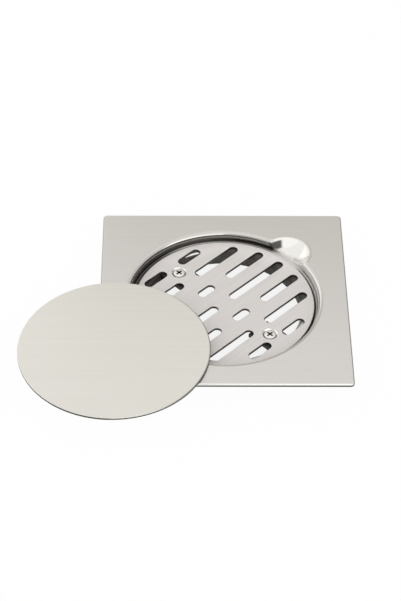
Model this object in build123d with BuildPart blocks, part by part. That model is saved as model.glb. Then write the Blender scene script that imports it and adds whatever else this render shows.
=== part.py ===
"""Square floor drain: pressed plate with a round recess, slotted strainer and loose round cover.

Millimetres, +Z up. The origin is the middle of the outlet collar's open lower end, which the drain
stands on. X runs to the right along the front edge of the plate, and Y runs to the back.
"""
import os
from math import radians, sqrt, tan

from build123d import *

# Pressed plate: square flange with a turned-down edge
plate_side = 150.0
plate_corner_radius = 2.5
sheet = 1.0
rim_height = 2.0
rim_rounding = 1.0

# Round recess, seat ring and outlet collar, drawn from the same sheet
recess_radius = 57.4
recess_depth = 7.0
lip_rounding = 3.0
recess_corner_radius = 1.0
seat_width = 10.4
collar_rounding = 3.0
collar_drop = 9.0

# Finger scoop, a round dish pressed across the edge of the recess
scoop_angle = 45.0
scoop_inset = 1.7
scoop_mouth_radius = 14.5
scoop_depth = 6.0
scoop_rounding = 1.2

# Slotted strainer, with rows of slots and a plain band along the line of the screws
strainer_gap = 1.8
strainer_thickness = 1.5
strainer_rim_rounding = 1.0
slot_angle = 45.0
slot_width = 5.5
slot_pitch = 14.7
slot_rounding = 0.4
slot_edge_land = 4.3
slot_start = 8.8
staggered_slot_start = 21.0
short_slot_length = 6.6

# Raised countersunk screws that hold the strainer down
screw_to_collar = 8.5
screw_radius = 2.0
screw_length = 9.0
countersink_radius = 4.7
countersink_angle = 90.0
head_radius = 3.9
head_raise = 0.8
head_gap = 0.05
cross_length = 4.4
cross_width = 1.1
cross_depth = 1.2
cross_taper = 10.0

# Angle brackets on the collar's wall, which the screws are driven into
bracket_width = 16.0
bracket_reach = 10.0
bracket_thickness = 2.5
bracket_leg = 8.0

# Cover disc, lying on the front left corner of the plate
cover_gap = 0.4
cover_thickness = 1.5
cover_edge_rounding = 0.4
cover_inset_left = 9.5
cover_inset_front = 28.3

# Levels and radii that follow from the sizes above
seat_level = collar_drop
plate_top = seat_level + recess_depth
collar_radius = recess_radius - seat_width
scoop_place = recess_radius - scoop_inset
strainer_top = seat_level + strainer_thickness
strainer_radius = recess_radius - strainer_gap
slot_circle_radius = strainer_radius - slot_edge_land - slot_width / 2
screw_place = collar_radius - screw_to_collar
head_slope = tan(radians(countersink_angle / 2))
head_edge = strainer_top - (countersink_radius - head_gap - head_radius) / head_slope
cover_radius = recess_radius - cover_gap

# Frame of the strainer: X along the slots and Y along the line of the two screws
turned = Plane.XY.rotated((0, 0, slot_angle))
scoop_axis = Axis(Vector(scoop_place, 0, plate_top).rotate(Axis.Z, scoop_angle), (0, 0, 1))
screw_holes = [turned.offset(strainer_top) * Pos(0, side * screw_place) for side in (-1, 1)]


def upright_plane(middle):
    """Plane that stands upright on a point, with its second axis pointing up."""
    return Plane(middle, x_dir=(1, 0, 0), z_dir=(0, -1, 0))


def drawn_section(inset):
    """Half section under one skin of the drawn sheet, which lies the inset below the upper skin."""
    with BuildSketch(Plane.XZ) as section:
        with BuildLine():
            skin = FilletPolyline(
                (recess_radius + inset, plate_top),
                (recess_radius + inset, seat_level - inset),
                (collar_radius + inset, seat_level - inset),
                (collar_radius + inset, 0),
                radius=[recess_corner_radius + inset, collar_rounding - inset],
            )
            Polyline(skin @ 1, (0, 0), (0, plate_top), skin @ 0)
        make_face()
    return section.sketch


def scoop_section(inset):
    """Half section of the finger scoop, a segment of a ball that ends at the plate's top face."""
    ball_radius = (scoop_mouth_radius**2 + scoop_depth**2) / (2 * scoop_depth)
    cut_side = 4 * ball_radius
    with BuildSketch(upright_plane(scoop_axis.position)) as section:
        with Locations((0, ball_radius - scoop_depth)):
            Circle(ball_radius + inset)
        Rectangle(cut_side, cut_side, align=(Align.CENTER, Align.MIN), mode=Mode.SUBTRACT)
        Rectangle(cut_side, cut_side, align=(Align.MAX, Align.CENTER), mode=Mode.SUBTRACT)
    return section.sketch


with BuildPart() as drain_plate:
    # Flange with its edge turned down all round
    with BuildSketch(Plane.XY.offset(plate_top - rim_height)):
        RectangleRounded(plate_side, plate_side, plate_corner_radius)
    extrude(amount=rim_height)
    fillet(drain_plate.faces().sort_by(Axis.Z)[-1].edges(), rim_rounding)
    with BuildSketch(Plane.XY.offset(plate_top - rim_height)):
        inner_side = plate_side - 2 * sheet
        RectangleRounded(inner_side, inner_side, plate_corner_radius - sheet)
    extrude(amount=rim_height - sheet, mode=Mode.SUBTRACT)
    # Drawn recess, seat ring and collar, with the lip of the recess rounded over
    revolve(drawn_section(sheet), axis=Axis.Z)
    underside = drain_plate.faces().filter_by(Plane.XY).group_by(Axis.Z)[-2]
    bend = underside.edges().filter_by(GeomType.CIRCLE).sort_by(SortBy.RADIUS)[-1]
    fillet(bend, lip_rounding - sheet)
    revolve(scoop_section(sheet), axis=scoop_axis)
    revolve(drawn_section(0), axis=Axis.Z, mode=Mode.SUBTRACT)
    mouth = drain_plate.faces().filter_by(Plane.XY).sort_by(Axis.Z)[-1].inner_wires()[0]
    fillet(mouth.edges(), lip_rounding)
    # Finger scoop, rounded where it runs into the flange, the lip and the recess
    revolve(scoop_section(0), axis=scoop_axis, mode=Mode.SUBTRACT)
    dish = drain_plate.faces().filter_by(GeomType.SPHERE).sort_by(Axis.Z)[-1]
    fillet(dish.edges(), scoop_rounding)

with BuildPart() as strainer:
    with BuildSketch(Plane.XY.offset(seat_level)):
        Circle(strainer_radius)
    extrude(amount=strainer_thickness)
    fillet(strainer.edges().group_by(Axis.Z)[-1], strainer_rim_rounding)
    with BuildSketch(turned.offset(seat_level)):
        shortest_reach = slot_start + slot_width
        rows = int(sqrt(slot_circle_radius**2 - shortest_reach**2) / slot_pitch)
        for row in range(-rows, rows + 1):
            staggered = abs(row) == 1
            across = row * slot_pitch
            start = staggered_slot_start if staggered else slot_start
            reach = sqrt(slot_circle_radius**2 - across**2)
            with Locations((-(start + reach) / 2, across), ((start + reach) / 2, across)):
                SlotCenterToCenter(reach - start, slot_width)
            if staggered:
                with Locations((0, across)):
                    SlotCenterToCenter(short_slot_length, slot_width)
    extrude(amount=strainer_thickness, mode=Mode.SUBTRACT)
    slot_mouths = strainer.faces().sort_by(Axis.Z)[-1].inner_wires()
    fillet(slot_mouths.edges(), slot_rounding)
    with Locations(*screw_holes):
        CounterSinkHole(screw_radius + head_gap, countersink_radius, None, countersink_angle)

with BuildPart() as strainer_screws:
    for hole in screw_holes:
        foot = Vector(hole.position.X, hole.position.Y, head_edge)
        # Domed head, its cone and the shank
        with BuildSketch(upright_plane(foot)):
            with BuildLine():
                dome = TangentArc((0, head_raise), (head_radius, 0), tangent=(1, 0))
                neck = (screw_radius - head_radius) / head_slope
                Polyline(dome @ 1, (screw_radius, neck), (screw_radius, -screw_length), (0, -screw_length))
                Line((0, -screw_length), dome @ 0)
            make_face()
        revolve(axis=Axis(foot, (0, 0, 1)))
        # Cross recess, with its arms along and across the slots
        with BuildSketch(Plane(foot + Vector(0, 0, head_raise), x_dir=turned.x_dir)):
            Rectangle(cross_length, cross_width)
            Rectangle(cross_width, cross_length)
        extrude(amount=-cross_depth, taper=cross_taper, mode=Mode.SUBTRACT)

with BuildPart() as screw_bracket_back:
    # Tab under the strainer, which reaches past the screw
    with BuildSketch(turned.offset(seat_level)):
        with Locations((0, screw_place - bracket_reach)):
            Rectangle(bracket_width, collar_radius, align=(Align.CENTER, Align.MIN))
        Circle(collar_radius, mode=Mode.INTERSECT)
    extrude(amount=-bracket_thickness)
    with Locations(screw_holes[-1]):
        CounterSinkHole(screw_radius + head_gap, countersink_radius, None, countersink_angle)
    # Leg that follows the collar's wall
    with BuildSketch(turned.offset(seat_level)):
        Rectangle(bracket_width, 2 * collar_radius, align=(Align.CENTER, Align.MIN))
        Circle(collar_radius, mode=Mode.INTERSECT)
        Circle(collar_radius - bracket_thickness, mode=Mode.SUBTRACT)
    extrude(amount=-bracket_leg)

with BuildPart() as screw_bracket_front:
    add(screw_bracket_back.part, rotation=(0, 0, 180))

with BuildPart() as cover:
    cover_left = -plate_side / 2 + cover_inset_left
    cover_front = -plate_side / 2 + cover_inset_front
    with BuildSketch(Plane((cover_left, cover_front, plate_top))):
        Circle(cover_radius)
    extrude(amount=cover_thickness)
    fillet(cover.edges().filter_by(GeomType.CIRCLE), cover_edge_rounding)

pieces = {
    "drain_plate": drain_plate,
    "strainer": strainer,
    "strainer_screws": strainer_screws,
    "screw_bracket_back": screw_bracket_back,
    "screw_bracket_front": screw_bracket_front,
    "cover": cover,
}
os.makedirs("parts", exist_ok=True)
for name, piece in pieces.items():
    piece.part.label = name
    export_step(piece.part, f"parts/{name}.step")
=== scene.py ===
"""Floor drain in brushed stainless steel, with its round cover lying on the corner of the plate.

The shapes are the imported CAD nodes. This script dresses them with procedural steel finishes and sets up
a white studio with a camera at the photograph's angle. Sizes of the drain are in millimetres up to the
place where they enter Blender, which works in metres. The studio's own distances are in metres.
"""
import logging
import math
from dataclasses import dataclass
from enum import Enum

import bpy
import numpy as np
from mathutils import Matrix, Vector


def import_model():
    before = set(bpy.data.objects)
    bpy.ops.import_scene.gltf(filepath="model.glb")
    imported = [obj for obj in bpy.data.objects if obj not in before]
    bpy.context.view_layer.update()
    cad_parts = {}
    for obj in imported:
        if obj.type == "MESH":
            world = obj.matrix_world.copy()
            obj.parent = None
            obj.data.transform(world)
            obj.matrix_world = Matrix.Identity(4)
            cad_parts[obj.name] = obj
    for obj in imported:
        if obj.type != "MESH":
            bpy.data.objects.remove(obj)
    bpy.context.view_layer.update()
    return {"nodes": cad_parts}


MM = 0.001
# Longer side of the photograph in pixels, and the camera's sensor along it in millimetres
IMAGE_HEIGHT = 601
SENSOR = 36.0
WHITE = "#FFFFFF"

log = logging.getLogger("floor_drain")


class Grain(Enum):
    """Direction in which a sheet was brushed, as the turn of its grain about Z in degrees."""

    ALONG_X = 0.0
    ALONG_SLOTS = 45.0


class Axis(Enum):
    """Axis of the shared frame, by Blender's name for its coordinate."""

    RIGHT = "X"
    BACK = "Y"
    UP = "Z"


def linear_colour(hex_colour: str) -> tuple[float, float, float, float]:
    """Turns an sRGB colour into the linear one that shaders take.

    Args:
        hex_colour: Colour as "#RRGGBB".

    Returns:
        Linear red, green, blue and an alpha of 1.
    """
    srgb = np.array([int(hex_colour[i : i + 2], 16) for i in (1, 3, 5)]) / 255
    linear = np.where(srgb <= 0.04045, srgb / 12.92, ((srgb + 0.055) / 1.055) ** 2.4)
    return (*linear.tolist(), 1.0)


def empty_tree(owner: bpy.types.Material | bpy.types.World) -> bpy.types.NodeTree:
    """Gives a material or a world an empty node tree.

    Args:
        owner: Material or world.

    Returns:
        Its node tree, without nodes.
    """
    owner.use_nodes = True
    owner.node_tree.nodes.clear()
    return owner.node_tree


def add_node(
    tree: bpy.types.NodeTree,
    kind: str,
    settings: dict[str, object] | None = None,
    links: dict[str, bpy.types.NodeSocket] | None = None,
    output: str | None = None,
) -> bpy.types.NodeSocket | None:
    """Adds one shader node with its settings and incoming links.

    Args:
        tree: Node tree that gets the node.
        kind: Blender's name for the node without "ShaderNode", such as "Math".
        settings: Values of the node's own properties, or of its input sockets by identifier or name.
        links: Output sockets that feed its input sockets, by the input's identifier or name.
        output: Name of the output socket to give back, or None for the first one in use.

    Returns:
        The new node's output socket, or None where it has none.
    """
    node = tree.nodes.new("ShaderNode" + kind)
    properties = node.bl_rna.properties.keys()

    def inlet(key: str) -> bpy.types.NodeSocket:
        """Gives the input socket of that identifier or name."""
        return next(s for s in node.inputs if key in (s.identifier, s.name))

    for key, value in (settings or {}).items():
        if key in properties:
            setattr(node, key, value)
        else:
            inlet(key).default_value = value
    for key, source in (links or {}).items():
        tree.links.new(source, inlet(key))
    return next((s for s in node.outputs if s.enabled and output in (None, s.name)), None)


def dress(node: bpy.types.Object, material: bpy.types.Material) -> None:
    """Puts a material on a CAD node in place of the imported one."""
    node.data.materials.clear()
    node.data.materials.append(material)


@dataclass(frozen=True)
class SteelFinish:
    """One surface of stainless steel, as its last working step left it.

    Fields are the colour that it gives back under white light, the blur of its reflections and how
    far its streaks lighten and darken the colour, and with it the blur.
    """

    colour: str
    roughness: float
    streaks: float = 0.0


# Belt-brushed sheet: a soft even sheen with faint streaks along the belt. Also laid as painted light on the
# seat in front and on the recess's corner on the right
BRUSHED_AND_PAINTED_LIGHT = SteelFinish("#DCD9D6", 0.36, 0.02)
# Finer belt on the cover: paler, with longer streaks
FINE_BRUSHED = SteelFinish("#E2DFD8", 0.34, 0.02)
# Satin sheet before punching: even grey, hardly a reflection. Also laid as painted light on the pale right
# wall of the recess, the pale corner below the scoop and the strainer's pale rim beside it
SATIN_AND_PAINTED_LIGHT = SteelFinish("#E8E5E3", 0.88, 0.015)
# Painted light: satin laid paler along the back of the strainer, against the shade of the recess's back
# wall
PAINTED_LIGHT_SATIN = SteelFinish("#EFECEA", 0.88, 0.015)
# Lip of the recess, drawn smooth and buffed: a bright band runs round it
BUFFED = SteelFinish("#D1CEC9", 0.13, 0.01)
# Wall of the recess, drawn over the die and left so: dark seen square on, bright along it
DRAWN = SteelFinish("#98958F", 0.22, 0.03)
# Polished scoop and turned-down edge: the brightest parts of the plate. Also laid as a painted highlight on
# the collar's rounding, seen through the first slot
POLISHED_AND_PAINTED_GLINT = SteelFinish("#ECEBE6", 0.14)
# Painted shade and reflection, dark grey: a thin line below the lip, the recess's corner on the left and
# the dark corner of the scoop
PAINTED_SHADE = SteelFinish("#5A5855", 0.3, 0.03)
# Painted shade on the seat and collar behind the strainer's middle: dull and dark
PAINTED_SEAT_SHADE = SteelFinish("#706D69", 0.85, 0.05)
# Sheet as the mill rolled it, below and along edges: duller than the top. Also laid as painted shade in the
# recess's corner and on the cover's edge over the recess, and as painted light at the foot of the recess's
# left wall
MILL_AND_PAINTED_LIGHT = SteelFinish("#A8A5A0", 0.42, 0.03)
# Sheared and punched edges: matt dark grey, partly the cut steel's own tone and partly painted shade in the
# slots. Also laid as painted shade on the left of the seat, on the left of the strainer's rim and as a ring
# round each screw head
SHEARED_AND_PAINTED_SHADE = SteelFinish("#4A4845", 0.5, 0.05)
# Painted shade along the strainer's rounded rim and in the gap beside it on the right: matt and dark from
# every side
PAINTED_RIM_SHADE = SteelFinish("#3E3C39", 0.95, 0.05)
# Turned screw heads: bright
TURNED = SteelFinish("#EDEBE6", 0.32, 0.02)
# Painted shade in the cross recess of a screw's head: dark
PAINTED_CROSS_SHADE = SteelFinish("#3A3836", 0.5, 0.05)


class SteelMaterial:
    """Procedural steel that carries several finishes, each over its own part of the surface.

    Places and distances on the surface are measured in millimetres.
    """

    # Height of the streaks in millimetres
    STREAK_HEIGHT = 0.004
    # Noise below the first level is a dark streak, and noise above the second is a pale one
    STREAK_LEVELS = (0.3, 0.7)
    # How many times further the streaks change the blur than the colour
    BLUR_SWING = 2.0

    def __init__(
        self,
        name: str,
        base: SteelFinish,
        grain: Grain = Grain.ALONG_X,
        streak_length: float = 80.0,
        streak_width: float = 0.9,
    ) -> None:
        """Starts the material with the finish that lies under the others.

        Belt lines are really under 0.1 mm wide, which is too fine to show, so they are drawn coarser.

        Args:
            name: Name of the material.
            base: Finish of the whole surface, before others are laid over it.
            grain: Direction of the streaks.
            streak_length: Length of one streak in millimetres.
            streak_width: Width of one streak in millimetres.
        """
        self.material = bpy.data.materials.new(name)
        self.tree = empty_tree(self.material)
        metres = add_node(self.tree, "TexCoord", output="Object")
        millimetres = {"Scale": (1 / MM, 1 / MM, 1 / MM)}
        self.place = add_node(self.tree, "Mapping", millimetres, {"Vector": metres})
        turn = {"Rotation": (0, 0, -math.radians(grain.value))}
        turned = add_node(self.tree, "Mapping", turn, {"Vector": self.place})
        stretch = {"Scale": (1 / streak_length, 1 / streak_width, 1 / streak_width)}
        stretched = add_node(self.tree, "Mapping", stretch, {"Vector": turned})
        cloud = {"Scale": 1.0, "Detail": 4.0, "Roughness": 0.6}
        noise = add_node(self.tree, "TexNoise", cloud, {"Vector": stretched})
        self.streaks = self.ramp(noise, *self.STREAK_LEVELS)
        self.colour = self.streaked_colour(base)
        self.roughness = self.streaked_roughness(base)

    def streaked_colour(self, finish: SteelFinish) -> bpy.types.NodeSocket:
        """Gives a finish's colour with its streaks.

        Args:
            finish: Finish to colour.

        Returns:
            Colour that runs from darker to lighter streaks about the finish's own.
        """
        colour = np.array(linear_colour(finish.colour)[:3])
        dark = (*(colour * (1 - finish.streaks)).tolist(), 1.0)
        pale = (*np.minimum(colour * (1 + finish.streaks), 1).tolist(), 1.0)
        ends = {"data_type": "RGBA", "A_Color": dark, "B_Color": pale}
        return add_node(self.tree, "Mix", ends, {"Factor_Float": self.streaks})

    def streaked_roughness(self, finish: SteelFinish) -> bpy.types.NodeSocket:
        """Gives a finish's roughness, which is higher in its dark streaks.

        Args:
            finish: Finish to roughen.

        Returns:
            Roughness about the finish's own.
        """
        swing = self.BLUR_SWING * finish.streaks
        ends = {"A_Float": finish.roughness * (1 + swing), "B_Float": finish.roughness * (1 - swing)}
        return add_node(self.tree, "Mix", ends, {"Factor_Float": self.streaks})

    def along(self, axis: Axis) -> bpy.types.NodeSocket:
        """Gives the place along one axis of the frame."""
        return add_node(self.tree, "SeparateXYZ", links={"Vector": self.place}, output=axis.value)

    def distance(self, x: float = 0.0, y: float = 0.0) -> bpy.types.NodeSocket:
        """Measures the distance from an upright axis.

        Args:
            x: Place of the axis, which is the recess's own by default.
            y: Place of the axis.

        Returns:
            Distance.
        """
        flat = {"Location": (-x, -y, 0), "Scale": (1, 1, 0)}
        outward = add_node(self.tree, "Mapping", flat, {"Vector": self.place})
        return add_node(self.tree, "VectorMath", {"operation": "LENGTH"}, {"Vector": outward})

    def upward(self) -> bpy.types.NodeSocket:
        """Gives how far the surface faces up, from -1 to 1."""
        facing = add_node(self.tree, "TexCoord", output="Normal")
        return add_node(self.tree, "SeparateXYZ", links={"Vector": facing}, output=Axis.UP.value)

    def ramp(self, value: bpy.types.NodeSocket, zero: float, one: float) -> bpy.types.NodeSocket:
        """Gives a mask that rises from 0 to 1 between two values, and stays level beyond them."""
        return add_node(self.tree, "MapRange", {"From Min": zero, "From Max": one}, {"Value": value})

    def within(
        self,
        value: bpy.types.NodeSocket,
        low: float | None = None,
        high: float | None = None,
        *,
        fade: float,
    ) -> bpy.types.NodeSocket:
        """Makes a mask that is 1 between two limits and 0 beyond them.

        Args:
            value: Measured quantity.
            low: Lower limit, or None where there is none.
            high: Upper limit, or None where there is none.
            fade: Half the width over which the mask fades at a limit.

        Returns:
            Mask from 0 to 1.
        """
        masks = []
        if low is not None:
            masks.append(self.ramp(value, low - fade, low + fade))
        if high is not None:
            masks.append(self.ramp(value, high + fade, high - fade))
        return self.shared(*masks)

    def shared(self, *masks: bpy.types.NodeSocket) -> bpy.types.NodeSocket:
        """Gives the mask of the places that some masks share.

        Args:
            masks: Masks, of which there is at least one.

        Returns:
            Their product.
        """
        product, *others = masks
        for mask in others:
            factors = {"Value": product, "Value_001": mask}
            product = add_node(self.tree, "Math", {"operation": "MULTIPLY"}, factors)
        return product

    def lay(self, finish: SteelFinish, *masks: bpy.types.NodeSocket) -> None:
        """Lays a finish over the ones before it.

        Args:
            finish: Finish to lay.
            masks: It lies where they all do.
        """
        mask = {"Factor_Float": self.shared(*masks)}
        colours = {"A_Color": self.colour, "B_Color": self.streaked_colour(finish)}
        self.colour = add_node(self.tree, "Mix", {"data_type": "RGBA"}, {**mask, **colours})
        blurs = {"A_Float": self.roughness, "B_Float": self.streaked_roughness(finish)}
        self.roughness = add_node(self.tree, "Mix", links={**mask, **blurs})

    def made(self) -> bpy.types.Material:
        """Closes the node tree with a metal shader.

        Returns:
            The finished material.
        """
        height = {"Strength": 1.0, "Distance": self.STREAK_HEIGHT * MM}
        relief = add_node(self.tree, "Bump", height, {"Height": self.streaks}, output="Normal")
        surface = {"Base Color": self.colour, "Roughness": self.roughness, "Normal": relief}
        shader = add_node(self.tree, "BsdfPrincipled", {"Metallic": 1.0}, surface)
        add_node(self.tree, "OutputMaterial", links={"Surface": shader})
        return self.material


@dataclass(frozen=True)
class CoatedFinish:
    """Coating on steel, whose grain runs between two colours.

    Fields are the darker and the paler colour, the blur of its reflections and the size of its grain
    in millimetres.
    """

    dark: str
    pale: str
    roughness: float
    grain_size: float

    def material(self, name: str) -> bpy.types.Material:
        """Makes the material of the coating.

        Args:
            name: Name of the material.

        Returns:
            The material.
        """
        material = bpy.data.materials.new(name)
        tree = empty_tree(material)
        place = add_node(tree, "TexCoord", output="Object")
        cloud = {"Scale": 1 / (self.grain_size * MM), "Detail": 3.0}
        grain = add_node(tree, "TexNoise", cloud, {"Vector": place})
        coat = {"A_Color": linear_colour(self.dark), "B_Color": linear_colour(self.pale)}
        colour = add_node(tree, "Mix", {"data_type": "RGBA", **coat}, {"Factor_Float": grain})
        blur = {"Roughness": self.roughness}
        shader = add_node(tree, "BsdfPrincipled", blur, {"Base Color": colour})
        add_node(tree, "OutputMaterial", links={"Surface": shader})
        return material


# Painted shade: black coating on the brackets, for the deep shade under the strainer. Nearly no light comes
# back, and its grain breaks up the sheen
BLACK_PAINTED_SHADE = CoatedFinish("#121110", "#201F1D", 0.55, 0.8)


@dataclass(frozen=True)
class FingerScoop:
    """Round dish pressed across the edge of the recess.

    Fields are its distance and direction from the recess's axis, its radius, and how far from its
    middle the foot of the recess and the strainer's rim are painted pale, as painted light.
    """

    from_axis: float = 55.7
    angle: float = 45.0
    radius: float = 15.2
    pale_radius: float = 11.0

    def middle(self) -> tuple[float, float]:
        """Gives the place of its middle."""
        turn = math.radians(self.angle)
        return self.from_axis * math.cos(turn), self.from_axis * math.sin(turn)


@dataclass
class DrainPlate:
    """Pressed plate: brushed flange, buffed lip, polished finger scoop and outlet collar, with painted
    light and shade in the recess, the scoop and under the strainer.

    Levels are above the collar's lower end, and radii are from the recess's axis. A field that ends in
    from or to is a place along X, or along Y for the painted shade on the seat, where a local finish or
    painted light starts or stops.
    """

    half_side: float = 75.0
    top: float = 16.0
    rim_rounding: float = 1.0
    recess_radius: float = 57.4
    lip_rounding: float = 3.0
    scoop: FingerScoop = FingerScoop()
    # Levels of the recess's finishes, from the lip to the foot
    wall_top: float = 14.3
    painted_line_levels: tuple[float, float] = (13.85, 14.45)
    foot_top: float = 12.6
    corner_top: float = 10.4
    # Wall and corner, painted pale on the right and dark on the left, as painted light and shade
    painted_right_from: float = 46.0
    pale_corner_radius: float = 56.9
    gap_radius: float = 56.1
    dark_corner_to: float = -32.0
    # Finger scoop
    dish_foot: float = 9.7
    polished_radius: float = 59.0
    buffed_from: float = 51.5
    below_dish_radius: float = 57.9
    below_dish_from: float = 43.0
    scoop_shade_to: float = 37.0
    scoop_shade_levels: tuple[float, float] = (12.2, 15.0)
    # Seat and collar, as far as the strainer covers them, with painted shade at the back and on the left
    # and a painted glint
    covered_radius: float = 55.4
    seat_shade_from: float = -8.0
    dark_seat_to: float = -38.0
    glint_place: tuple[float, float] = (-18.5, 45.5)
    glint_reach: float = 5.5
    painted_light_radius: float = 48.7
    # Past this radius only the flange's edge lies lower than its top
    flange_radius: float = 74.0
    edge_drop: float = 0.04
    side_width: float = 0.7
    # Faces that point further down than this are the underside, where 1 is straight up
    underside_facing: float = -0.4

    def dress(self, node: bpy.types.Object) -> None:
        """Dresses the plate's CAD node.

        Args:
            node: The plate.
        """
        steel = SteelMaterial("brushed_stainless_plate", BRUSHED_AND_PAINTED_LIGHT)
        self.finish_recess(steel)
        self.finish_scoop(steel)
        self.finish_seat(steel)
        self.finish_edge(steel)
        dress(node, steel.made())

    def finish_recess(self, steel: SteelMaterial) -> None:
        """Lays the buffed lip, the drawn wall with a painted dark line below the lip, and the corner at its
        foot, with painted light on the right and painted shade on the left.

        Args:
            steel: The plate's material.
        """
        radius, right, level = steel.distance(), steel.along(Axis.RIGHT), steel.along(Axis.UP)
        mouth = steel.within(radius, high=self.recess_radius + self.lip_rounding, fade=0.3)
        wall = steel.shared(mouth, steel.within(level, high=self.wall_top, fade=0.25))
        corner = steel.shared(mouth, steel.within(level, high=self.corner_top, fade=0.25))
        right_painted_side = steel.within(right, low=self.painted_right_from, fade=5.0)
        steel.lay(BUFFED, mouth)
        steel.lay(DRAWN, wall)
        # Painted shade: the recess's corner is laid duller and darker all round
        steel.lay(MILL_AND_PAINTED_LIGHT, corner)
        left_half = steel.within(right, high=0.0, fade=12.0)
        # Painted reflection: the foot of the wall on the left is laid a rougher, paler grey than the drawn
        # wall
        steel.lay(MILL_AND_PAINTED_LIGHT, wall, left_half, steel.within(level, high=self.foot_top, fade=0.8))
        # Painted light: the corner on the right is laid pale
        steel.lay(BRUSHED_AND_PAINTED_LIGHT, corner, right_painted_side, steel.within(radius, low=self.pale_corner_radius, fade=0.15))
        # Painted shade: the gap beside the strainer on the right is laid dark
        steel.lay(PAINTED_RIM_SHADE, corner, right_painted_side, steel.within(radius, high=self.gap_radius, fade=0.2))
        # Painted shade: the recess's corner on the left is laid dark grey
        steel.lay(PAINTED_SHADE, corner, steel.within(right, high=self.dark_corner_to, fade=8.0))
        # Painted reflection: a thin dark line is laid round the wall below the lip
        steel.lay(PAINTED_SHADE, mouth, steel.within(level, *self.painted_line_levels, fade=0.15))
        # Painted light: the wall on the right is laid pale satin grey
        steel.lay(SATIN_AND_PAINTED_LIGHT, wall, right_painted_side, steel.within(level, low=self.corner_top, fade=0.25))

    def finish_scoop(self, steel: SteelMaterial) -> None:
        """Lays the polished dish, the pale wall below it, the corner below it painted pale as painted
        light, and painted shade on its left.

        Args:
            steel: The plate's material.
        """
        radius, right, level = steel.distance(), steel.along(Axis.RIGHT), steel.along(Axis.UP)
        from_scoop = steel.distance(*self.scoop.middle())
        dish = steel.shared(
            steel.within(from_scoop, high=self.scoop.radius, fade=1.2),
            steel.within(level, low=self.dish_foot, fade=0.2),
        )
        steel.lay(BUFFED, dish)
        steel.lay(POLISHED_AND_PAINTED_GLINT, dish, steel.within(radius, low=self.polished_radius, fade=0.8))
        steel.lay(BUFFED, dish, steel.within(right, low=self.buffed_from, fade=2.0))
        below_dish = steel.within(radius, high=self.below_dish_radius, fade=0.2)
        steel.lay(SATIN_AND_PAINTED_LIGHT, dish, below_dish, steel.within(right, low=self.below_dish_from, fade=2.0))
        # Painted light: the recess's corner below the scoop is laid pale
        near_scoop = steel.within(from_scoop, high=self.scoop.pale_radius, fade=2.0)
        steel.lay(SATIN_AND_PAINTED_LIGHT, near_scoop, steel.within(level, high=self.corner_top, fade=0.25))
        # Painted shade: the dish's left corner is laid dark grey
        left_of_dish = steel.within(right, high=self.scoop_shade_to, fade=0.8)
        steel.lay(PAINTED_SHADE, dish, left_of_dish, steel.within(level, *self.scoop_shade_levels, fade=0.3))

    def finish_seat(self, steel: SteelMaterial) -> None:
        """Lays the finishes of the seat and the collar, which show through the slots: painted light in
        front, painted shade at the back and on the left, and a painted glint.

        Args:
            steel: The plate's material.
        """
        radius = steel.distance()
        covered = steel.within(radius, high=self.covered_radius, fade=0.2)
        behind = steel.within(steel.along(Axis.BACK), low=self.seat_shade_from, fade=4.0)
        on_left = steel.within(steel.along(Axis.RIGHT), high=self.dark_seat_to, fade=4.0)
        # Painted light: under the strainer the seat and collar are laid pale, as if lit, before painted
        # shade at the back and on the left
        steel.lay(BRUSHED_AND_PAINTED_LIGHT, covered)
        # Painted shade: behind the middle they are laid dull and dark
        steel.lay(PAINTED_SEAT_SHADE, covered, behind)
        # Painted shade: on the left, behind, they are laid darkest
        steel.lay(SHEARED_AND_PAINTED_SHADE, covered, behind, on_left)
        # Painted highlight: a bright glint on the collar's rounding, seen through the first slot
        spot = steel.within(steel.distance(*self.glint_place), high=self.glint_reach, fade=0.5)
        steel.lay(POLISHED_AND_PAINTED_GLINT, spot, steel.within(radius, low=self.painted_light_radius, fade=0.15))

    def finish_edge(self, steel: SteelMaterial) -> None:
        """Lays the polished bend, duller sides and sheared end of the flange's edge, and the underside.

        Args:
            steel: The plate's material.
        """
        level = steel.along(Axis.UP)
        flange = steel.within(steel.distance(), low=self.flange_radius, fade=0.1)
        steel.lay(POLISHED_AND_PAINTED_GLINT, flange, steel.within(level, high=self.top - self.edge_drop, fade=0.03))
        right = {"Value": steel.along(Axis.RIGHT)}
        sideways = add_node(steel.tree, "Math", {"operation": "ABSOLUTE"}, right)
        steel.lay(MILL_AND_PAINTED_LIGHT, steel.within(sideways, low=self.half_side - self.side_width, fade=0.15))
        steel.lay(SHEARED_AND_PAINTED_SHADE, flange, steel.within(level, high=self.top - self.rim_rounding, fade=0.2))
        steel.lay(MILL_AND_PAINTED_LIGHT, steel.within(steel.upward(), high=self.underside_facing, fade=0.2))


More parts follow.
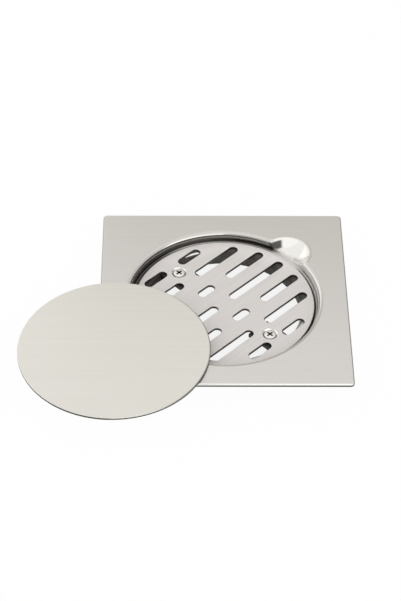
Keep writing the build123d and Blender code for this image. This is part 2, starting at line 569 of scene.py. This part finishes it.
@dataclass
class Strainer:
    """Slotted disc, its screws and the brackets under it.

    Levels are above the collar's lower end. Radii are from the strainer's axis or, for a screw, its own.
    A field that ends in from or to is a place along X, or along Y for the strip of painted light. The face
    depth is how far the finishes of the two faces reach into the cut edges.
    """

    top: float = 10.5
    underside: float = 9.0
    face_depth: float = 0.05
    # Rim, laid dark all round as painted shade, in a wider band on the left, and pale beside the scoop as
    # painted light
    rim_radius: float = 55.1
    left_rim_radius: float = 54.5
    left_rim_to: float = -30.0
    pale_rim_radius: float = 53.5
    scoop: FingerScoop = FingerScoop()
    # Strip along the back that is painted paler, as painted light against the wall's shade
    painted_light_radius: float = 45.0
    painted_light_from: float = 32.0
    # Screws, one on each side of the axis
    screw_place: float = 38.5
    screw_angle: float = 135.0
    countersink_radius: float = 4.7
    head_edge_radius: float = 3.45
    cross_radius: float = 2.5
    cross_mouth: float = 10.2

    def from_screw(self, steel: SteelMaterial) -> bpy.types.NodeSocket:
        """Measures the distance from the nearer screw's axis.

        Args:
            steel: Material that needs it.

        Returns:
            Distance.
        """
        turn = math.radians(self.screw_angle)
        x, y = self.screw_place * math.cos(turn), self.screw_place * math.sin(turn)
        ends = {"Value": steel.distance(x, y), "Value_001": steel.distance(-x, -y)}
        return add_node(steel.tree, "Math", {"operation": "MINIMUM"}, ends)

    def dress(self, node: bpy.types.Object) -> None:
        """Dresses the strainer's CAD node.

        Args:
            node: The strainer.
        """
        steel = SteelMaterial("satin_stainless_strainer", SATIN_AND_PAINTED_LIGHT, Grain.ALONG_SLOTS)
        radius, level = steel.distance(), steel.along(Axis.UP)
        # Painted light: a strip along the back is laid paler, against the shade of the recess's back wall
        at_back = steel.within(steel.along(Axis.BACK), low=self.painted_light_from, fade=8.0)
        steel.lay(PAINTED_LIGHT_SATIN, at_back, steel.within(radius, low=self.painted_light_radius, fade=4.0))
        # Cut edges, the slots' walls among them: matt dark grey, partly painted shade
        steel.lay(SHEARED_AND_PAINTED_SHADE, steel.within(level, high=self.top - self.face_depth, fade=0.04))
        # Painted shade: the rim on the left is laid dark in a wider band
        on_left = steel.within(steel.along(Axis.RIGHT), high=self.left_rim_to, fade=10.0)
        steel.lay(SHEARED_AND_PAINTED_SHADE, on_left, steel.within(radius, low=self.left_rim_radius, fade=0.25))
        # Painted shade: the rim is laid matt and dark all round, along the strainer's edge
        steel.lay(PAINTED_RIM_SHADE, steel.within(radius, low=self.rim_radius, fade=0.15))
        # Painted light: beside the scoop the rim is laid pale again
        from_scoop = steel.distance(*self.scoop.middle())
        near_scoop = steel.within(from_scoop, high=self.scoop.pale_radius, fade=2.0)
        steel.lay(SATIN_AND_PAINTED_LIGHT, near_scoop, steel.within(radius, low=self.pale_rim_radius, fade=0.25))
        steel.lay(TURNED, steel.within(self.from_screw(steel), high=self.countersink_radius, fade=0.05))
        steel.lay(MILL_AND_PAINTED_LIGHT, steel.within(level, high=self.underside + self.face_depth, fade=0.03))
        dress(node, steel.made())

    def dress_screws(self, node: bpy.types.Object) -> None:
        """Dresses the two screws' CAD node.

        Args:
            node: The screws.
        """
        steel = SteelMaterial("turned_stainless_screws", TURNED, streak_length=4.0)
        from_screw = self.from_screw(steel)
        below_mouth = steel.within(steel.along(Axis.UP), high=self.cross_mouth, fade=0.05)
        # Painted shade: the cross recess in each head is laid dark
        steel.lay(PAINTED_CROSS_SHADE, below_mouth, steel.within(from_screw, high=self.cross_radius, fade=0.1))
        # Painted shadow: a dark ring is laid round the edge of each head
        steel.lay(SHEARED_AND_PAINTED_SHADE, steel.within(from_screw, low=self.head_edge_radius, fade=0.15))
        dress(node, steel.made())

    def dress_brackets(self, *nodes: bpy.types.Object) -> None:
        """Dresses the CAD nodes of the brackets that the screws are driven into.

        Args:
            nodes: The brackets.
        """
        material = BLACK_PAINTED_SHADE.material("black_painted_shade_steel")
        for node in nodes:
            dress(node, material)


@dataclass
class Cover:
    """Loose round cover, brushed along X, with painted shade as a greyer edge over the recess, and a
    sheared rim.

    The grey edge starts at a place along X.
    """

    middle: tuple[float, float] = (-65.5, -46.7)
    radius: float = 57.0
    grey_width: float = 0.7
    grey_from: float = -32.0
    rim_width: float = 0.08

    def dress(self, node: bpy.types.Object) -> None:
        """Dresses the cover's CAD node.

        Args:
            node: The cover.
        """
        steel = SteelMaterial("fine_brushed_stainless_cover", FINE_BRUSHED, streak_length=120.0)
        from_middle = steel.distance(*self.middle)
        # Painted shade: the cover's edge over the recess is laid grey
        over_recess = steel.within(steel.along(Axis.RIGHT), low=self.grey_from, fade=8.0)
        grey_edge = steel.within(from_middle, low=self.radius - self.grey_width, fade=0.15)
        steel.lay(MILL_AND_PAINTED_LIGHT, over_recess, grey_edge)
        steel.lay(SHEARED_AND_PAINTED_SHADE, steel.within(from_middle, low=self.radius - self.rim_width, fade=0.05))
        dress(node, steel.made())


@dataclass(frozen=True)
class Lamp:
    """Square soft lamp that faces the drain, and that the steel doesn't mirror.

    Fields are its direction from the drain in degrees, its distance and side in metres, and the
    brightness of its surface, where 1 is white.
    """

    name: str
    azimuth: float
    elevation: float
    distance: float
    side: float
    brightness: float

    def build(self) -> None:
        """Hangs the lamp."""
        turn, rise = math.radians(self.azimuth), math.radians(self.elevation)
        flat = math.cos(rise)
        towards = Vector((flat * math.cos(turn), flat * math.sin(turn), math.sin(rise)))
        light = bpy.data.lights.new(self.name, "AREA")
        light.size = self.side
        # Blender spreads a lamp's watts so that its surface shows a quarter of them per square metre
        light.energy = 4 * self.side**2 * self.brightness
        lamp = bpy.data.objects.new(self.name, light)
        lamp.location = towards * self.distance
        lamp.rotation_euler = towards.to_track_quat("Z", "Y").to_euler()
        lamp.visible_glossy = False
        bpy.context.scene.collection.objects.link(lamp)


@dataclass(frozen=True)
class Card:
    """Grey card or lit scrim that the steel mirrors and the camera doesn't see.

    Fields are its colour and the span of its directions from the drain, in degrees, how many times
    brighter than its colour it is lit, its distance in metres and its grid's points each way.
    """

    name: str
    colour: str
    azimuths: tuple[float, float]
    elevations: tuple[float, float]
    brightness: float = 1.0
    distance: float = 0.9
    columns: int = 25
    rows: int = 13

    def build(self) -> None:
        """Builds the card as a patch of a sphere about the frame's origin.

        Its points lie at a fixed distance: the first parameter is the angle about Z and the second
        is the angle above the floor.
        """
        turn, rise = np.meshgrid(
            np.radians(np.linspace(*self.azimuths, self.columns)),
            np.radians(np.linspace(*self.elevations, self.rows)),
            indexing="ij",
        )
        flat = np.cos(rise)
        towards = np.stack([flat * np.cos(turn), flat * np.sin(turn), np.sin(rise)], axis=-1)
        points = self.distance * towards.reshape(-1, 3)
        index = np.arange(len(points)).reshape(turn.shape)
        faces = np.stack([index[:-1, :-1], index[1:, :-1], index[1:, 1:], index[:-1, 1:]], axis=-1)
        mesh = bpy.data.meshes.new(self.name)
        mesh.from_pydata(points.tolist(), [], faces.reshape(-1, 4).tolist())
        card = bpy.data.objects.new(self.name, mesh)
        bpy.context.scene.collection.objects.link(card)
        card.visible_camera = False
        card.visible_shadow = False
        material = bpy.data.materials.new(self.name)
        tree = empty_tree(material)
        lit = {"Color": linear_colour(self.colour), "Strength": self.brightness}
        shader = add_node(tree, "Emission", lit)
        add_node(tree, "OutputMaterial", links={"Surface": shader})
        mesh.materials.append(material)


@dataclass
class Studio:
    """White studio: floor, world, a soft lamp, and cards and scrims out of the camera's sight.

    The floor's half side is in metres. The radius that is shaded under the drain and the width of its
    border are in millimetres. A pair of the floor's values is for inside that radius and for outside.
    """

    floor_half: float = 4.0
    shaded_radius: float = 50.0
    shade_border: float = 2.0
    floor_glow: tuple[float, float] = (0.85, 0.97)
    floor_paint: tuple[str, str] = ("#6C6C6C", "#303030")
    floor_colour: str = "#EBEBEA"
    world_light: float = 0.5
    lamp: Lamp = Lamp("overhead_lamp", azimuth=95.0, elevation=72.0, distance=1.6, side=0.8, brightness=1.0)
    cards: tuple[Card, ...] = (
        Card("back_card", "#DBD9D2", (60.0, 108.0), (0.0, 44.0), distance=0.45),
        Card("front_scrim", WHITE, (-165.0, -15.0), (46.0, 88.0), brightness=1.12),
        Card("low_front_scrim", WHITE, (-90.0, -15.0), (20.0, 46.0), brightness=1.6),
        Card("low_left_card", "#C8C8C8", (-165.0, -90.0), (24.0, 46.0)),
        Card("front_card", "#3A3A3A", (-150.0, -20.0), (0.0, 14.0)),
        Card("left_scrim", WHITE, (120.0, 200.0), (5.0, 36.0), brightness=1.32),
        Card("right_card", "#E6E6E6", (-20.0, 60.0), (17.0, 50.0)),
        Card("low_right_card", "#3A3A3A", (-20.0, 75.0), (0.0, 17.0)),
    )

    def build(self) -> None:
        """Builds the floor, the world, the lamp and the cards."""
        self.build_floor()
        self.build_world()
        for piece in (self.lamp, *self.cards):
            piece.build()

    def seen_white(self, tree: bpy.types.NodeTree) -> bpy.types.NodeSocket:
        """Gives 1 for rays that show the background: straight, mirrored or refracted ones.

        Args:
            tree: Node tree to work in.

        Returns:
            Mask from 0 to 1.
        """
        seen = add_node(tree, "LightPath", output="Is Camera Ray")
        for kind in ("Is Glossy Ray", "Is Transmission Ray"):
            rays = {"Value": seen, "Value_001": add_node(tree, "LightPath", output=kind)}
            seen = add_node(tree, "Math", {"operation": "MAXIMUM"}, rays)
        return seen

    def build_floor(self) -> None:
        """Builds a pale floor that looks white, with soft shadows, which are deepest inside the collar.

        It is a flat square with the frame's origin in its middle.
        """
        corners = self.floor_half * np.array([(-1, -1, 0), (1, -1, 0), (1, 1, 0), (-1, 1, 0)])
        mesh = bpy.data.meshes.new("floor")
        mesh.from_pydata(corners.tolist(), [], [(0, 1, 2, 3)])
        floor = bpy.data.objects.new("floor", mesh)
        bpy.context.scene.collection.objects.link(floor)
        mesh.materials.append(self.floor_material())

    def floor_material(self) -> bpy.types.Material:
        """Makes the floor's paint, which glows where it is seen and only gives back light elsewhere.

        Returns:
            The material.
        """
        material = bpy.data.materials.new("white_floor")
        tree = empty_tree(material)
        place = add_node(tree, "TexCoord", output="Object")
        from_axis = add_node(tree, "VectorMath", {"operation": "LENGTH"}, {"Vector": place})
        inner = self.shaded_radius - self.shade_border / 2
        border = {"From Min": inner * MM, "From Max": (inner + self.shade_border) * MM}
        outside = {"Factor_Float": add_node(tree, "MapRange", border, {"Value": from_axis})}
        glows = dict(zip(("A_Float", "B_Float"), self.floor_glow))
        strength = add_node(tree, "Mix", glows, outside)
        paints = dict(zip(("A_Color", "B_Color"), map(linear_colour, self.floor_paint)))
        colour = add_node(tree, "Mix", {"data_type": "RGBA", **paints}, outside)
        glow = add_node(tree, "Emission", {"Color": linear_colour(WHITE)}, {"Strength": strength})
        shade = add_node(tree, "BsdfDiffuse", links={"Color": colour})
        white = add_node(tree, "AddShader", links={"Shader": glow, "Shader_001": shade})
        pale = add_node(tree, "BsdfDiffuse", {"Color": linear_colour(self.floor_colour)})
        shaders = {"Fac": self.seen_white(tree), "Shader": pale, "Shader_001": white}
        surface = add_node(tree, "MixShader", links=shaders)
        add_node(tree, "OutputMaterial", links={"Surface": surface})
        return material

    def build_world(self) -> None:
        """Makes the world white where it is seen and mirrored, and a plain soft light elsewhere."""
        world = bpy.data.worlds.new("white_studio")
        tree = empty_tree(world)
        levels = {"A_Float": self.world_light, "B_Float": 1.0}
        strength = add_node(tree, "Mix", levels, {"Factor_Float": self.seen_white(tree)})
        light = add_node(tree, "Background", {"Color": linear_colour(WHITE)}, {"Strength": strength})
        add_node(tree, "OutputWorld", links={"Surface": light})
        bpy.context.scene.world = world


@dataclass
class PhotoCamera:
    """Camera at the photograph's place, from a fit to the edges of the plate and the cover.

    Fields are its focal length in the photograph's pixels, its angles in degrees, and its distance from
    the point that it looks at, in millimetres.
    """

    focal_pixels: float = 2040.0
    elevation: float = 43.2
    azimuth: float = 0.86
    roll: float = 0.68
    distance: float = 1233.8
    target: tuple[float, float, float] = (-14.26, -4.0, 16.0)

    def build(self) -> None:
        """Builds the camera and makes it the scene's."""
        rise, turn, lean = (math.radians(a) for a in (self.elevation, self.azimuth, self.roll))
        flat = math.cos(rise)
        ahead = Vector((flat * math.sin(turn), flat * math.cos(turn), -math.sin(rise)))
        level = Vector((math.cos(turn), -math.sin(turn), 0))
        plumb = level.cross(ahead)
        right = level * math.cos(lean) + plumb * math.sin(lean)
        upright = plumb * math.cos(lean) - level * math.sin(lean)
        lens = bpy.data.cameras.new("photo_camera")
        lens.sensor_width = SENSOR
        lens.lens = self.focal_pixels * SENSOR / IMAGE_HEIGHT
        camera = bpy.data.objects.new("photo_camera", lens)
        spot = (Vector(self.target) - ahead * self.distance) * MM
        facing = Matrix((right, upright, -ahead)).transposed().to_4x4()
        camera.matrix_world = Matrix.Translation(spot) @ facing
        bpy.context.scene.collection.objects.link(camera)
        bpy.context.scene.camera = camera


def main() -> None:
    """Loads the drain, dresses its pieces and sets up the studio and the camera."""
    logging.basicConfig(level=logging.INFO, format="%(name)s: %(message)s")
    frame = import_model()
    nodes = frame["nodes"]
    bpy.context.scene.view_settings.view_transform = "Standard"
    DrainPlate().dress(nodes["drain_plate"])
    log.info("drain_plate dressed")
    strainer = Strainer()
    strainer.dress(nodes["strainer"])
    log.info("strainer dressed")
    strainer.dress_screws(nodes["strainer_screws"])
    log.info("strainer_screws dressed")
    strainer.dress_brackets(nodes["screw_bracket_back"], nodes["screw_bracket_front"])
    log.info("screw_bracket_back and screw_bracket_front dressed")
    Cover().dress(nodes["cover"])
    log.info("cover dressed")
    Studio().build()
    log.info("studio built")
    PhotoCamera().build()
    log.info("camera placed")


if __name__ == "__main__":
    main()
